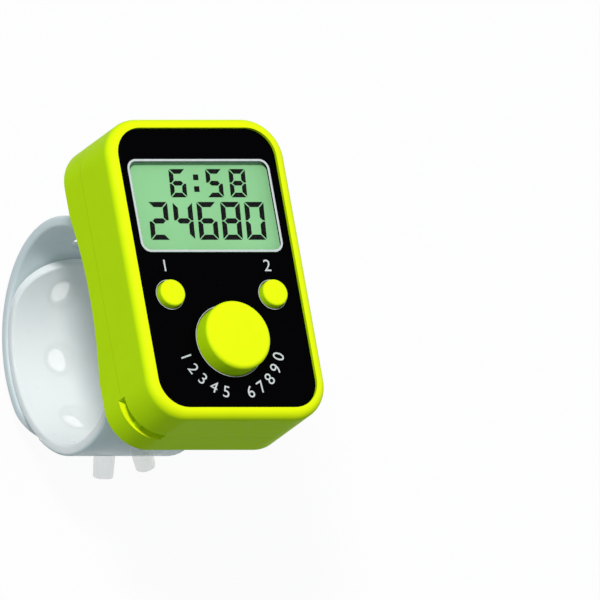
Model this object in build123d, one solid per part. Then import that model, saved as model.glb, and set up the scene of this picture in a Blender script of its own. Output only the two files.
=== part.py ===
from build123d import *
import math
import os

# Digital tally counter worn on a finger: a small casing with a display and three push
# buttons, on an adjustable ring made of two soft straps.
# Millimetres. The origin is in the middle of the ring, on its axis. +X runs to the right of
# the display, +Y towards its top and +Z out of its face.
# Depths are measured from the front of the faceplate towards the back of the casing.
# Places on the casing are measured from its middle, which lies a little below the ring's.

# Casing
case_width = 27.5
case_length = 43.0
case_corner = 5.6
waist_depth = 11.4
hollow_dip = 1.45
hollow_length = 23.0
hollow_round = 7.0
front_depth = 7.7
bezel_rise = 0.35
bezel_border = 1.6
front_edge_round = 1.3
back_edge_bevel = 0.45
shell_wall = 1.4
front_wall = 1.2
back_wall = 1.4
lip_height = 0.9
lip_wall = 0.7
lip_clearance = 0.12

# Faceplate and display window
faceplate_thickness = 0.8
faceplate_seat = 0.05
faceplate_clearance = 0.1
window_side_border = 1.2
window_top_border = 4.33
controls_length = 22.27
window_corner = 1.4
window_clearance = 0.05
window_edge = 0.15

# Display glass, with its contact ledge at the top
glass_lap = 0.45
glass_thickness = 0.7
contact_ledge = 1.8
film_thickness = 0.12
stack_gap = 0.05
glass_clearance = 0.1
frame_margin = 0.7
frame_clearance = 0.12
frame_floor_border = 1.6
zebra_width = 1.3
zebra_end_border = 1.25

# Circuit board
board_depth = 4.6
board_thickness = 0.8
board_clearance = 0.2
board_notch = 0.3
chip_diameter = 7.4
chip_height = 1.1
chip_from_bottom = 14.3
chip_profile_shares = [(1, 0), (0.86, 0.6), (0.5, 1), (0, 1)]
crystal_diameter = 2.0
crystal_length = 6.2
crystal_from_side = 7.35
crystal_from_bottom = 6.3
crystal_lead_length = 1.6
crystal_lead_width = 0.35
crystal_lead_spread = 0.35
capacitor_length = 1.6
capacitor_width = 0.8
capacitor_height = 0.7
capacitor_from_side = 7.45
capacitor_from_bottom = 6.9
capacitor_pitch = 1.9

# Push buttons
count_radius = 4.9
count_rise = 2.9
count_travel = 1.0
count_bottom_border = 4.56
count_wall = 1.2
count_edge = 0.45
small_radius = 1.9
small_rise = 1.1
small_travel = 0.7
small_side_border = 2.32
small_below_window = 4.25
small_edge = 0.3
button_clearance = 0.22
flange_width = 0.8
small_flange_width = 0.6
flange_thickness = 0.8
guide_clearance = 0.15
guide_wall = 0.6
guide_gap = 0.35
dome_height = 1.5
dome_top_share = 0.42
dome_inset = 0.35
dome_wall = 0.35
dome_pill = 0.3
small_stem_radius = 1.0

# Button cell, contacts and battery door
cell_radius = 5.8
cell_height = 3.05
cell_step = 0.35
cell_cap_radius = 5.1
cell_from_top = 9.7
cell_lift = 0.75
cell_clearance = 0.35
well_wall = 0.75
well_gap = 0.5
contact_thickness = 0.15
contact_width = 2.6
contact_foot = 2.2
contact_reach = 4.6
contact_clearance = 0.03
door_thickness = 1.2
door_rim = 1.1
door_left_rim = 1.8
door_side_border = 2.55
door_corner = 2.0
door_clearance = 0.12
door_pad = 0.8
door_pad_margin = 1.1
door_tab_length = 1.3
door_tab_width = 5.0
door_tab_thickness = 0.6
door_plug_radius = 5.0
door_screw_inset = 1.9

# Screws
screw_clearance = 0.03
screw_seat = 0.03
screw_head_radius = 1.3
screw_head_height = 0.7
case_screw_below_small = 5.02
case_screw_radius = 0.7
case_screw_length = 6.0
case_screw_sink = 1.15
case_boss_radius = 1.75
boss_gap = 0.1
board_screw_radius = 0.6
board_screw_length = 2.6
board_post_radius = 1.1
board_post_side_inset = 1.45
board_post_end_inset = 1.55
board_post_gap = 0.2
door_screw_length = 4.2
door_screw_sink = 0.95
door_boss_radius = 1.5
door_boss_length = 2.4

# Lanyard slot across the lower left corner
lanyard_left_end = 5.55
lanyard_bottom_end = 5.35
lanyard_depth = 2.4
lanyard_front = 6.7
lanyard_back = 8.4
lanyard_wall = 0.9
lanyard_post_radius = 0.55
lanyard_post_inset = 0.85

# Ring of two straps; angles are measured about the ring's axis, from the top end of the
# casing (+Y) towards the display (+Z)
ring_radius = 16.35
ring_from_top = 20.64
strap_width = 16.0
strap_thickness = 1.5
strap_gap = 0.05
spiral_start = 170.0
spiral_turn = 90.0
upper_tip_angle = -136.0
lower_tip_angle = 337.0
peg_radius = 1.45
peg_length = 3.5
peg_bevel = 0.35
peg_count = 5
first_peg_angle = 173.0
peg_pitch_angle = 35.1
peg_clearance = 0.15
first_engaged_peg = 2
root_height = 1.81
root_gap = 0.3
root_reach = 4.4
root_taper = 2.4
root_width = 13.0
root_clearance = 0.1
root_seat = 0.05
neck_start = 0.75
neck_thickness = 1.5
head_overhang = 0.65
head_thickness = 0.9

# Cuts run past their faces by this much
overrun = 1.0

# Worked out from the sizes above
end_depth = waist_depth + hollow_dip
saddle_radius = ((hollow_length / 2) ** 2 + hollow_dip ** 2) / (2 * hollow_dip)
panel_width = case_width - 2 * bezel_border
panel_length = case_length - 2 * bezel_border
panel_corner = case_corner - bezel_border
recess_depth = faceplate_thickness + faceplate_seat
front_inside = recess_depth + front_wall
flange_front = front_inside + stack_gap
cavity_width = case_width - 2 * shell_wall
cavity_length = case_length - 2 * shell_wall
cavity_corner = case_corner - shell_wall
board_back = board_depth + board_thickness
window_width = panel_width - 2 * window_side_border
window_top = panel_length / 2 - window_top_border
window_bottom = controls_length - panel_length / 2
window_y = (window_top + window_bottom) / 2
glass_width = window_width + 2 * glass_lap
glass_top = window_top + glass_lap + contact_ledge
glass_bottom = window_bottom - glass_lap
ledge_bottom = glass_top - contact_ledge
glass_front = recess_depth + stack_gap
glass_middle = glass_front + glass_thickness
glass_back = glass_middle + glass_thickness
film_back = glass_back + film_thickness
frame_floor = film_back + stack_gap
frame_back = board_depth - stack_gap
frame_bottom = glass_bottom - frame_margin
zebra_length = glass_width - 2 * zebra_end_border
count_y = count_bottom_border + count_radius - panel_length / 2
small_x = panel_width / 2 - small_side_border - small_radius
small_y = window_bottom - small_below_window - small_radius
chip_y = chip_from_bottom - case_length / 2
crystal_x = crystal_from_side - case_width / 2
crystal_y = crystal_from_bottom - case_length / 2
capacitor_x = case_width / 2 - capacitor_from_side
capacitor_y = capacitor_from_bottom - case_length / 2
case_screw_x = cavity_width / 2 - case_boss_radius
case_screw_y = small_y - case_screw_below_small
board_post_x = cavity_width / 2 - board_post_side_inset
board_post_y = frame_bottom - board_post_gap - board_post_radius
board_post_low_y = board_post_end_inset - cavity_length / 2
stem_depth = board_depth - dome_height - stack_gap
cell_front = board_back + cell_lift
cell_back = cell_front + cell_height
cell_y = case_length / 2 - cell_from_top
door_front = waist_depth - door_thickness
door_left = cell_radius + door_left_rim
door_right = case_width / 2 - door_side_border
door_half_height = cell_radius + door_rim
door_screw_x = door_right - door_screw_inset
ring_depth = waist_depth + root_height + ring_radius
ring_y = case_length / 2 - ring_from_top
inner_radius = ring_radius - strap_thickness
lap_radius = ring_radius - strap_thickness - strap_gap
lap_inner_radius = lap_radius - strap_thickness
corner_centre = (-(case_width / 2 - case_corner), -(case_length / 2 - case_corner))


def height(depth):
    """Turns a depth behind the faceplate's front into a height above the ring's axis."""
    return ring_depth - depth


def on_case(x=0, y=0, z=0):
    """A place whose x and y are measured from the middle of the casing."""
    return Pos(x, y - ring_y, z)


def plate(outline, front, back):
    """A flat-sided block of the outline between two depths."""
    return on_case(z=height(back)) * extrude(outline, amount=back - front)


def rounded(width, length, corner, x=0, y=0):
    """A rounded rectangle with its centre at x, y."""
    return Pos(x, y) * RectangleRounded(width, length, corner)


def disc(radius, x=0, y=0):
    """A circle with its centre at x, y."""
    return Pos(x, y) * Circle(radius)


def case_outline(inset=0):
    """The casing's outline, drawn in by an inset."""
    return rounded(case_width - 2 * inset, case_length - 2 * inset, case_corner - inset)


def saddle(growth=0):
    """The round bar whose side hollows the back of the casing for the finger."""
    radius = saddle_radius + growth
    bar = Cylinder(radius, case_width + 2 * overrun)
    return on_case(z=height(waist_depth + saddle_radius)) * Rot(0, 90, 0) * bar


def back_surface(y):
    """Depth of the casing's back at a place along it."""
    return min(waist_depth + y ** 2 / (2 * saddle_radius), end_depth)


def back_skin(outline, front):
    """A block of the outline from a depth to halfway through the back's skin."""
    return plate(outline, front, end_depth - back_wall / 2) - saddle(back_wall / 2)


def corner_block(reach):
    """The part of the casing's lower left corner that the lanyard slot spans."""
    left = -case_width / 2 - overrun
    bottom = -case_length / 2 - overrun
    right = -case_width / 2 + lanyard_bottom_end + reach
    top = -case_length / 2 + lanyard_left_end + reach
    width = right - left
    length = top - bottom
    return Pos((left + right) / 2, (bottom + top) / 2) * Rectangle(width, length)


def lanyard_slot():
    """The slot that a lanyard's loop passes through, round its post."""
    band = case_outline(-overrun) - case_outline(lanyard_depth)
    return plate(band & corner_block(0), lanyard_front, lanyard_back)


def lanyard_lining(front, back):
    """The wall that closes the lanyard slot off from the inside."""
    lining = case_outline(shell_wall / 2) - case_outline(lanyard_depth + lanyard_wall)
    return plate(lining & corner_block(lanyard_wall), front, back)


def button_places():
    """Each button's centre, radius, flange width and travel."""
    return {
        "count": (0, count_y, count_radius, flange_width, count_travel),
        "left": (-small_x, small_y, small_radius, small_flange_width, small_travel),
        "right": (small_x, small_y, small_radius, small_flange_width, small_travel),
    }


def button_holes(front, back):
    """The holes that the three buttons stand in."""
    holes = Sketch()
    for x, y, radius, _, _ in button_places().values():
        holes += disc(radius + button_clearance, x, y)
    return plate(holes, front, back)


def flange_ways(growth=0):
    """The round spaces that the buttons' flanges slide in, grown by a wall."""
    ways = Sketch()
    for x, y, radius, flange, _ in button_places().values():
        ways += disc(radius + flange + guide_clearance + growth, x, y)
    return ways


def case_screw_places():
    """Centres of the two screws that hold the back cover."""
    return [(-case_screw_x, case_screw_y), (case_screw_x, case_screw_y)]


def board_screw_places():
    """Centres of the three screws that hold the circuit board."""
    return [(-board_post_x, board_post_y), (board_post_x, board_post_y), (0, board_post_low_y)]


def make_front_shell():
    """The moulded front casing, with its recess, guides, bosses and posts."""
    block = plate(case_outline(), -bezel_rise, front_depth)
    top_edges = block.edges().group_by(Axis.Z)[-1]
    shell = fillet(top_edges, front_edge_round)
    recess = rounded(
        panel_width + 2 * faceplate_clearance,
        panel_length + 2 * faceplate_clearance,
        panel_corner + faceplate_clearance,
    )
    shell -= plate(recess, -bezel_rise - overrun, recess_depth)
    cavity = case_outline(shell_wall)
    shell -= plate(cavity, front_inside, front_depth + overrun)
    guides = flange_ways(guide_wall) & cavity
    shell += plate(guides, front_inside - front_wall / 2, board_depth - guide_gap)
    for x, y in case_screw_places():
        boss = disc(case_boss_radius, x, y) & case_outline(shell_wall / 2)
        shell += plate(boss, front_inside - front_wall / 2, front_depth - boss_gap)
    for x, y in board_screw_places():
        post = disc(board_post_radius, x, y) & case_outline(shell_wall / 2)
        shell += plate(post, front_inside - front_wall / 2, board_depth)
    shell += lanyard_lining(front_inside - front_wall / 2, front_depth)
    shell -= plate(flange_ways(), front_inside, board_depth - guide_gap)
    shell -= lanyard_slot()
    shell -= button_holes(-bezel_rise - overrun, front_inside + overrun)
    shell -= glass_block(glass_clearance, glass_top, 0, front_inside + overrun)
    for x, y in case_screw_places():
        pilot = disc(case_screw_radius + screw_clearance, x, y)
        shell -= plate(pilot, front_inside + boss_gap, front_depth + overrun)
    for x, y in board_screw_places():
        pilot = disc(board_screw_radius + screw_clearance, x, y)
        shell -= plate(pilot, front_inside, board_depth + overrun)
    return shell


def door_outline(growth=0):
    """The battery door's outline, grown by a clearance."""
    return rounded(
        door_left + door_right + 2 * growth,
        2 * (door_half_height + growth),
        door_corner + growth,
        x=(door_right - door_left) / 2,
        y=cell_y,
    )


def door_tab(growth=0):
    """The tab that hooks the battery door under the back cover's skin."""
    length = door_tab_length + door_corner + growth
    tab = Rectangle(length, door_tab_width + 2 * growth)
    x = -door_left - door_tab_length - growth + length / 2
    front = door_front + faceplate_seat - growth
    return plate(Pos(x, cell_y) * tab, front, front + door_tab_thickness + 2 * growth)


def make_back_cover():
    """The moulded back casing, hollowed for the finger, with its lip and battery well."""
    block = plate(case_outline(), front_depth, end_depth) - saddle()
    block = fillet(hollow_edges(block), hollow_round)
    back_edges = block.edges().filter_by(lambda edge: edge.center().Z < height(waist_depth - overrun))
    cover = chamfer(back_edges - hollow_edges(block), back_edge_bevel)
    cavity = plate(case_outline(shell_wall), front_depth - overrun, end_depth - back_wall)
    cover -= cavity - saddle(back_wall)
    lip = case_outline(shell_wall + lip_clearance) - case_outline(shell_wall + lip_clearance + lip_wall)
    lip_bridge = case_outline(shell_wall / 2) - case_outline(shell_wall + lip_clearance + lip_wall)
    cover += plate(lip, front_depth - lip_height, front_depth + lip_wall)
    cover += plate(lip_bridge, front_depth, front_depth + lip_wall)
    cover += lanyard_lining(front_depth, end_depth - back_wall / 2)
    pad_x = (door_right - door_left) / 2
    pad = rounded(
        door_left + door_right + 2 * door_pad_margin,
        2 * (door_half_height + door_pad_margin),
        door_corner,
        x=pad_x,
        y=cell_y,
    )
    pad_front = door_front - door_pad
    cover += back_skin(pad & case_outline(shell_wall / 2), pad_front)
    well_radius = cell_radius + cell_clearance
    well = disc(well_radius + well_wall, y=cell_y) - disc(well_radius, y=cell_y)
    cover += plate(well, board_back + well_gap, door_front)
    for x, y in case_screw_places():
        boss = disc(case_boss_radius + boss_gap, x, y) & case_outline(shell_wall / 2)
        cover += back_skin(boss, front_depth)
    door_boss = disc(door_boss_radius, door_screw_x, cell_y) - disc(well_radius, y=cell_y)
    cover += plate(door_boss, pad_front - door_boss_length, door_front)
    cover -= lanyard_slot()
    for x, y in case_screw_places():
        boss_way = disc(case_boss_radius + boss_gap, x, y)
        cover -= plate(boss_way, front_depth - lip_height - overrun, front_depth)
        hole = disc(case_screw_radius + screw_clearance, x, y)
        cover -= plate(hole, front_depth - overrun, end_depth + overrun)
        counterbore = disc(screw_head_radius + screw_clearance, x, y)
        seat = case_head_seat()
        cover -= plate(counterbore, seat, end_depth + overrun)
    corner_way = disc(lanyard_wall, *corner_centre) + corner_block(lanyard_wall + boss_gap)
    lining_way = case_outline(shell_wall) & corner_way
    cover -= plate(lining_way, front_depth - lip_height - overrun, front_depth)
    cover -= plate(door_outline(door_clearance), door_front, end_depth + overrun)
    cover -= door_tab(door_clearance)
    cover -= plate(disc(well_radius, y=cell_y), board_back, end_depth)
    door_pilot = disc(case_screw_radius + screw_clearance, door_screw_x, cell_y)
    cover -= plate(door_pilot, pad_front - door_boss_length, end_depth)
    gap = Pos(-well_radius, cell_y) * Rectangle(2 * well_wall + contact_width, 2 * contact_width)
    cover -= plate(gap, board_back, pad_front)
    for side in (1, -1):
        cover -= strap_neck(side, root_clearance)
    post_reach = case_corner - lanyard_post_inset
    post_x = corner_centre[0] - post_reach * math.cos(math.pi / 4)
    post_y = corner_centre[1] - post_reach * math.sin(math.pi / 4)
    post = disc(lanyard_post_radius, post_x, post_y)
    cover += plate(post, lanyard_front, lanyard_back + lanyard_wall / 2)
    return cover


def hollow_edges(block):
    """The straight edges across the casing's back, where the hollow meets the flat ends."""
    across = block.edges().filter_by(Axis.X)
    return across.filter_by(
        lambda edge: edge.center().Z < height(waist_depth)
        and abs(edge.center().Y + ring_y) < case_length / 2 - overrun
    )


def case_head_seat():
    """Depth of the face that a case screw's head pulls on."""
    return back_surface(case_screw_y) - case_screw_sink


def window_outline(growth=0):
    """The display window's outline, grown by a clearance."""
    return rounded(
        window_width + 2 * growth,
        window_top - window_bottom + 2 * growth,
        window_corner + growth,
        y=window_y,
    )


def make_faceplate():
    """The glossy black front panel, with its window opening and button holes."""
    panel = plate(rounded(panel_width, panel_length, panel_corner), 0, faceplate_thickness)
    panel -= plate(window_outline(window_clearance), -overrun, faceplate_thickness + overrun)
    return panel - button_holes(-overrun, faceplate_thickness + overrun)


def make_display_window():
    """The clear window over the display, with a bevelled edge."""
    pane = plate(window_outline(), 0, faceplate_thickness)
    return chamfer(pane.edges().group_by(Axis.Z)[-1], window_edge)


def glass_block(growth, top, front, back):
    """A block as wide as the display's glass, from its lower end to a given top, grown all round."""
    high = top + growth
    low = glass_bottom - growth
    outline = Rectangle(glass_width + 2 * growth, high - low)
    return plate(Pos(0, (high + low) / 2) * outline, front, back)


def make_front_glass():
    """The display's front glass, whose top edge carries the contacts."""
    return glass_block(0, glass_top, glass_front, glass_middle)


def make_rear_glass():
    """The display's rear glass, which leaves the contact ledge bare."""
    return glass_block(0, ledge_bottom, glass_middle, glass_back)


def make_reflector():
    """The reflecting film behind the display."""
    return glass_block(0, ledge_bottom, glass_back, film_back)


def zebra_outline(growth=0):
    """The soft contact strip's outline, in the middle of the glass's ledge."""
    strip = Rectangle(zebra_length + 2 * growth, zebra_width + 2 * growth)
    return Pos(0, glass_top - contact_ledge / 2) * strip


def make_display_frame():
    """The frame that holds the display against the faceplate, on the board's front."""
    frame_top = glass_top + frame_margin
    band = Pos(0, (frame_bottom + frame_top) / 2) * Rectangle(case_width, frame_top - frame_bottom)
    outline = case_outline(shell_wall + frame_clearance) & band
    frame = plate(outline, flange_front, frame_back)
    frame -= glass_block(glass_clearance, ledge_bottom, glass_front, frame_floor)
    frame -= plate(zebra_outline(glass_clearance), glass_front, frame_back + overrun)
    return frame - glass_block(-frame_floor_border, ledge_bottom, glass_front, frame_back + overrun)


def make_zebra_strip():
    """The soft striped strip that joins the glass to the board."""
    return plate(zebra_outline(), glass_middle, board_depth)


def make_circuit_board():
    """The circuit board, cut out for the screws, bosses and lanyard corner."""
    outline = case_outline(shell_wall + board_clearance)
    for x, y in case_screw_places():
        outline -= disc(case_boss_radius + board_notch, x, y)
    for x, y in board_screw_places():
        outline -= disc(board_screw_radius + board_notch / 2, x, y)
    corner = case_outline(0) - case_outline(lanyard_depth + lanyard_wall + board_clearance)
    outline -= corner & corner_block(lanyard_wall + board_clearance)
    return plate(outline, board_depth, board_back)


def make_chip():
    """The chip under its drop of resin, a shallow dome on the board's back."""
    points = [(0, board_back)]
    for radius_share, height_share in chip_profile_shares:
        points.append((radius_share * chip_diameter / 2, board_back + height_share * chip_height))
    return turned(points, 0, chip_y)


def make_crystal():
    """The clock crystal's can, lying on the board with its two leads bent down."""
    radius = crystal_diameter / 2
    can = Rot(90, 0, 0) * Cylinder(radius, crystal_length)
    crystal = on_case(crystal_x, crystal_y, height(board_back + radius)) * can
    can_end = crystal_y + crystal_length / 2
    foot_end = can_end + crystal_lead_length
    for side in (1, -1):
        x = crystal_x + side * crystal_lead_spread
        middle = Pos(x, (can_end + foot_end) / 2)
        run = middle * Rectangle(crystal_lead_width, crystal_lead_length)
        axis_depth = board_back + radius
        crystal += plate(run, axis_depth - crystal_lead_width / 2, axis_depth + crystal_lead_width / 2)
        foot = Pos(x, foot_end - crystal_lead_width / 2) * Rectangle(crystal_lead_width, crystal_lead_width)
        crystal += plate(foot, board_back, axis_depth)
    return crystal


def make_capacitors():
    """Three small capacitors in a row on the board's back."""
    row = []
    for place in (-1, 0, 1):
        body = Pos(capacitor_x, capacitor_y + place * capacitor_pitch)
        body *= Rectangle(capacitor_length, capacitor_width)
        row.append(plate(body, board_back, board_back + capacitor_height))
    return Compound(children=[part.solid() for part in row])


def turned(points, x, y):
    """A solid turned about an upright axis from an outline of radius and depth."""
    outline = [(radius, height(depth)) for radius, depth in points]
    face = make_face(Polyline(*outline, close=True))
    return on_case(x, y) * revolve(Plane.XZ * face, Axis.Z)


def make_button(name, rise, wall, edge, stem_radius):
    """A hollow push button with a flange that holds it in, and a stem over its dome."""
    x, y, radius, flange, _ = button_places()[name]
    front = flange_front
    back = front + flange_thickness
    ceiling = -rise + wall
    points = [
        (0, -rise),
        (radius, -rise),
        (radius, front),
        (radius + flange, front),
        (radius + flange, back),
        (radius - wall, back),
        (radius - wall, ceiling),
        (stem_radius, ceiling),
        (stem_radius, stem_depth),
        (0, stem_depth),
    ]
    button = turned(points, x, y)
    return chamfer(button.edges().group_by(Axis.Z)[-1], edge)


def make_solid_button(name, rise, edge, stem_radius):
    """A small push button, solid down to its stem, with a flange that holds it in."""
    x, y, radius, flange, _ = button_places()[name]
    front = flange_front
    points = [
        (0, -rise),
        (radius, -rise),
        (radius, front),
        (radius + flange, front),
        (radius + flange, front + flange_thickness),
        (stem_radius, front + flange_thickness),
        (stem_radius, stem_depth),
        (0, stem_depth),
    ]
    button = turned(points, x, y)
    return chamfer(button.edges().group_by(Axis.Z)[-1], edge)


def make_dome(name, inset):
    """A soft return dome on the board, with its contact pill under the top."""
    x, y, button_radius, _, _ = button_places()[name]
    radius = button_radius - inset
    top = board_depth - dome_height
    top_radius = radius * dome_top_share
    inner_top = top_radius - dome_wall
    points = [
        (0, top),
        (top_radius, top),
        (radius, board_depth),
        (radius - 2 * dome_wall, board_depth),
        (inner_top, top + dome_wall + dome_pill),
        (0, top + dome_wall + dome_pill),
    ]
    return turned(points, x, y)


def make_button_cell():
    """The button cell, stepped in at the face that meets the board's contact."""
    points = [
        (0, cell_front),
        (cell_cap_radius, cell_front),
        (cell_cap_radius, cell_front + cell_step),
        (cell_radius, cell_front + cell_step),
        (cell_radius, cell_back),
        (0, cell_back),
    ]
    return turned(points, 0, cell_y)


def bent_strip(points, y):
    """A strip of sheet metal whose middle line follows points of x and depth."""
    path = Polyline(*[(x, height(depth)) for x, depth in points])
    trace_face = trace(path, contact_thickness)
    return on_case(y=y + contact_width / 2) * extrude(Plane.XZ * trace_face, amount=contact_width)


def make_negative_contact():
    """The sprung strip between the board and the cell's stepped face."""
    half = contact_thickness / 2
    low = board_back + half
    top = cell_front - half
    points = [
        (-contact_reach, low),
        (0, low),
        (contact_reach / 2, top),
        (contact_reach / 2 + contact_foot / 2, top),
    ]
    return bent_strip(points, cell_y)


def make_positive_contact():
    """The strip that stands on the board and presses on the cell's side."""
    half = contact_thickness / 2
    low = board_back + half
    wall_x = -cell_radius - half - contact_clearance
    points = [
        (wall_x - contact_foot, low),
        (wall_x, low),
        (wall_x, cell_back - cell_step),
    ]
    return bent_strip(points, cell_y)


def make_battery_door():
    """The battery door, flush with the hollow back, with its tab, plug and screw hole."""
    front = door_front + faceplate_seat
    door = plate(door_outline(), front, end_depth) - saddle()
    plug = disc(door_plug_radius, y=cell_y)
    door += plate(plug, cell_back + stack_gap, front + door_tab_thickness / 2)
    door += door_tab()
    hole = disc(case_screw_radius + screw_clearance, door_screw_x, cell_y)
    door -= plate(hole, front - overrun, end_depth)
    head = disc(screw_head_radius + screw_clearance, door_screw_x, cell_y)
    return door - plate(head, door_head_seat(), end_depth)


def door_head_seat():
    """Depth of the face that the door screw's head pulls on."""
    return back_surface(cell_y) - door_screw_sink


def screw(x, y, seat, length, radius):
    """A pan-head screw driven from the back, with its head on the face at the seat depth."""
    head_front = seat + screw_seat
    head_back = head_front + screw_head_height
    shank = disc(radius, x, y)
    head = disc(screw_head_radius, x, y)
    return plate(shank, head_front - length, head_front) + plate(head, head_front, head_back)


def make_case_screws():
    """The two screws that hold the back cover on."""
    screws = []
    for x, y in case_screw_places():
        screws.append(screw(x, y, case_head_seat(), case_screw_length, case_screw_radius))
    return Compound(children=[part.solid() for part in screws])


def make_board_screws():
    """The three screws that hold the board on its posts."""
    screws = []
    for x, y in board_screw_places():
        screws.append(screw(x, y, board_back, board_screw_length, board_screw_radius))
    return Compound(children=[part.solid() for part in screws])


def make_door_screw():
    """The screw that locks the battery door."""
    return screw(door_screw_x, cell_y, door_head_seat(), door_screw_length, case_screw_radius)


def ring_place(angle):
    """A plane through the ring's axis whose normal points outwards at the angle."""
    turn = math.radians(angle)
    outward = (0, math.cos(turn), math.sin(turn))
    return Plane(origin=(0, 0, 0), x_dir=(1, 0, 0), z_dir=outward)


def band(outer, inner, start, size):
    """A sector of a round band, as a face in the ring's own section."""
    arcs = [CenterArc((0, 0), outer, start, size), CenterArc((0, 0), inner, start, size)]
    ends = [Line(arcs[0] @ 0, arcs[1] @ 0), Line(arcs[0] @ 1, arcs[1] @ 1)]
    return make_face([*arcs, *ends])


def spiral_shift(outer, outer_end):
    """How far from the ring's axis the spiral's two tangent arcs have their centres."""
    half_turn = math.cos(math.radians(spiral_turn / 2))
    return (outer - outer_end) * half_turn / (2 * half_turn - 1)


def spiral_first(outer, outer_end, start, size):
    """A sector of the spiral's first arc, which winds in from the outer radius."""
    shift = spiral_shift(outer, outer_end)
    direction = math.radians(spiral_start)
    centre = Pos(shift * math.cos(direction), shift * math.sin(direction))
    radius = outer - shift
    return centre * band(radius, radius - strap_thickness, start, size)


def spiral_second(outer, outer_end, start, size):
    """A sector of the spiral's second arc, which winds on to the smaller radius."""
    shift = spiral_shift(outer, outer_end)
    direction = math.radians(spiral_start + spiral_turn)
    centre = Pos(-shift * math.cos(direction), -shift * math.sin(direction))
    radius = outer_end + shift
    return centre * band(radius, radius - strap_thickness, start, size)


def spiral_radius(angle):
    """The lower strap's outer radius at an angle."""
    shift = spiral_shift(ring_radius, lap_radius)
    first_radius = ring_radius - shift
    second_radius = lap_radius + shift
    half_turn = math.radians(spiral_turn / 2)
    tangent_point = math.atan2(
        first_radius * math.sin(half_turn), shift + first_radius * math.cos(half_turn)
    )
    along = math.radians(min(max(angle - spiral_start, 0), spiral_turn))
    if along < tangent_point:
        return shift * math.cos(along) + math.sqrt(first_radius ** 2 - (shift * math.sin(along)) ** 2)
    left = math.radians(spiral_turn) - along
    return math.sqrt(second_radius ** 2 - (shift * math.sin(left)) ** 2) - shift * math.cos(left)


def strap_solid(sectors):
    """A strap of full width from its sectors in the ring's own section."""
    section = sectors[0]
    for sector in sectors[1:]:
        section += sector
    place = Plane(origin=(-strap_width / 2, 0, 0), x_dir=(0, 1, 0), z_dir=(1, 0, 0))
    return extrude(place * section, amount=strap_width)


def round_end_waste(tip_angle, turn, mean_radius):
    """What is cut off a strap to leave its end fully round; turn is +1 where it ends anticlockwise."""
    half_width = strap_width / 2
    reach = math.degrees(half_width / mean_radius)
    middle = ring_place(tip_angle - turn * reach / 2)
    centre = turn * mean_radius * math.sin(math.radians(reach / 2))
    length = half_width + 2 * overrun
    waste = Pos(0, centre - turn * length / 2) * Rectangle(strap_width + 2 * overrun, length)
    waste -= Pos(0, centre) * Circle(half_width)
    low = mean_radius - 2 * strap_thickness
    return middle * Pos(0, 0, low) * extrude(waste, amount=4 * strap_thickness)


def strap_root(side):
    """The foot that fills the space between the ring and the hollow back."""
    top = ring_depth - waist_depth + overrun
    points = [
        (side * root_gap / 2, inner_radius),
        (side * root_gap / 2, top),
        (side * root_reach, top),
        (side * root_reach, ring_depth - waist_depth - root_seat),
        (side * (root_reach + root_taper), inner_radius),
    ]
    place = Plane(origin=(-root_width / 2, 0, 0), x_dir=(0, 1, 0), z_dir=(1, 0, 0))
    foot = extrude(place * make_face(Polyline(*points, close=True)), amount=root_width)
    inside = Rot(0, 90, 0) * Cylinder(inner_radius, case_width)
    return (foot & saddle(-root_seat)) - inside


def strap_neck(side, growth=0):
    """The neck that passes through the back cover."""
    y = ring_y + side * (neck_start + neck_thickness / 2)
    neck = Pos(0, y) * Rectangle(root_width + 2 * growth, neck_thickness + 2 * growth)
    return plate(neck, waist_depth - back_wall - root_clearance, waist_depth + root_seat + overrun / 2)


def strap_head(side):
    """The wide head that holds the strap inside the back cover."""
    y = ring_y + side * (neck_start + neck_thickness / 2)
    head = Pos(0, y) * Rectangle(root_width, neck_thickness + 2 * head_overhang)
    back = waist_depth - back_wall - root_clearance
    return plate(head, back - head_thickness, back)


def start_angle(side):
    """Where a strap's band starts, beside the gap between the two roots."""
    return 90 - side * math.degrees(math.asin(root_gap / 2 / inner_radius))


def make_upper_strap():
    """The outer strap, with its holes and round end, lapped over the lower one."""
    start = start_angle(1)
    lap_start = spiral_start + spiral_turn - 360
    over_radius = ring_radius + strap_thickness + strap_gap
    sectors = [
        band(ring_radius, inner_radius, lap_start, start - lap_start),
        spiral_second(over_radius, ring_radius, upper_tip_angle, lap_start - upper_tip_angle),
    ]
    strap = strap_solid(sectors) - round_end_waste(upper_tip_angle, -1, ring_radius - strap_thickness / 2)
    for number in range(first_engaged_peg, peg_count + 1):
        place = ring_place(first_peg_angle + number * peg_pitch_angle)
        hole = Pos(0, 0, inner_radius) * Cylinder(peg_radius + peg_clearance, 4 * strap_thickness)
        strap -= place * hole
    return strap + strap_root(1) + strap_neck(1) + strap_head(1)


def peg(angle):
    """A peg with a bevelled tip, standing out of the lower strap."""
    root = spiral_radius(angle) - strap_thickness / 2
    length = peg_length + strap_thickness / 2
    body = Cylinder(peg_radius, length, align=(Align.CENTER, Align.CENTER, Align.MIN))
    body = chamfer(body.edges().group_by(Axis.Z)[-1], peg_bevel)
    return ring_place(angle) * Pos(0, 0, root) * body


def make_lower_strap():
    """The inner strap, which winds in under the upper one and carries the pegs."""
    start = start_angle(-1)
    lap_start = spiral_start + spiral_turn
    sectors = [
        band(ring_radius, inner_radius, start, spiral_start - start),
        spiral_first(ring_radius, lap_radius, spiral_start, spiral_turn / 2),
        spiral_second(ring_radius, lap_radius, spiral_start + spiral_turn / 2, spiral_turn / 2),
        band(lap_radius, lap_inner_radius, lap_start, lower_tip_angle - lap_start),
    ]
    strap = strap_solid(sectors) - round_end_waste(lower_tip_angle, 1, lap_radius - strap_thickness / 2)
    for number in range(peg_count):
        strap += peg(first_peg_angle + number * peg_pitch_angle)
    return strap + strap_root(-1) + strap_neck(-1) + strap_head(-1)


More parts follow.
